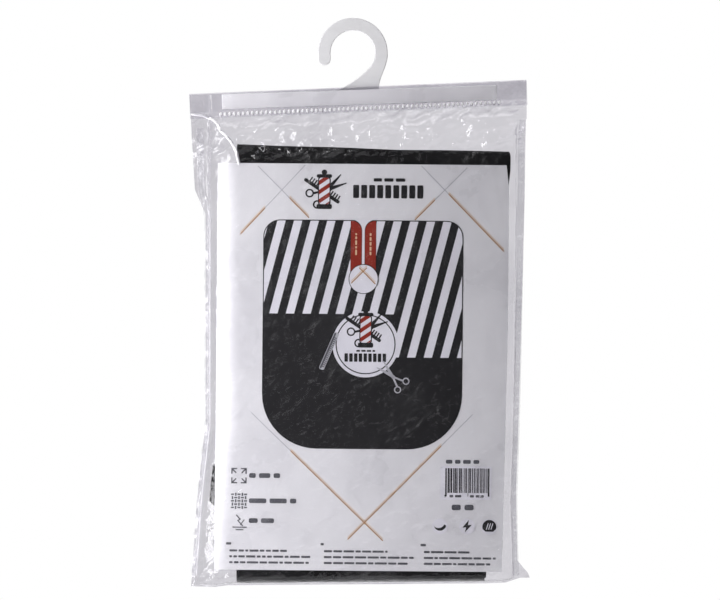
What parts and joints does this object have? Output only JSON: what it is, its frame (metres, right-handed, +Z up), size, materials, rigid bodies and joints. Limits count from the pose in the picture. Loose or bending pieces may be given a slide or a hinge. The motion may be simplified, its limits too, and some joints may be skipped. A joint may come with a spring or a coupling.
{
  "type": "packed barber cape",
  "caption": "Folded polyester barber cape with a neck hook closure, in a clear snap-rail hanging bag with a moulded hook and a printed insert card.",
  "frame": {"origin": "the point inside the hook, at the crown of its eye, that bears on a peg", "axes": "+X to the right as seen from the front, +Z up, and the front of the pack faces -Y"},
  "size_m": [0.2485, 0.02, 0.4182],
  "materials": {
    "clear_film": "clear soft PVC film, glossy and lightly creased",
    "welded_film": "heat-welded film, whitened by a knurled welding bar",
    "frosted_plastic": "milky translucent polypropylene, satin",
    "printed_card": "white coated card, printed in black, red and bronze",
    "black_polyester": "plain-woven black polyester, slightly silky",
    "red_tape": "woven red polyester tape",
    "hook_steel": "nickel-plated steel"
  },
  "bodies": {
    "bag": {"back_film": "clear_film", "front_film": "clear_film", "left_side_weld": "welded_film", "right_side_weld": "welded_film", "bottom_weld": "welded_film", "hook_rail": "frosted_plastic", "back_rail_weld": "welded_film"},
    "mouth": {"flap_film": "clear_film", "socket_rail": "frosted_plastic", "front_rail_weld": "welded_film"},
    "card": {"insert_card": "printed_card"},
    "cape": {"cape_cloth": "black_polyester", "neckband": "black_polyester", "left_placket": "red_tape", "right_placket": "red_tape", "closure_hook_upper": "hook_steel", "closure_hook_lower": "hook_steel", "eye_bar_upper_1": "hook_steel", "eye_bar_upper_2": "hook_steel", "eye_bar_upper_3": "hook_steel", "eye_bar_lower_1": "hook_steel", "eye_bar_lower_2": "hook_steel", "eye_bar_lower_3": "hook_steel"}
  },
  "joints": [
    {"name": "mouth_open", "type": "hinge", "parent": "bag", "child": "mouth", "pos_m": [0.00225, -0.01833, -0.06995], "axis": [0.9991, 0, 0.0419], "range_deg": [0, 60]},
    {"name": "cape_slide", "type": "slide", "parent": "bag", "child": "cape", "axis": [0, 0, 1], "range_m": [0, 0.009]},
    {"name": "card_slide", "type": "slide", "parent": "bag", "child": "card", "axis": [0, 0, 1], "range_m": [0, 0.022]}
  ]
}
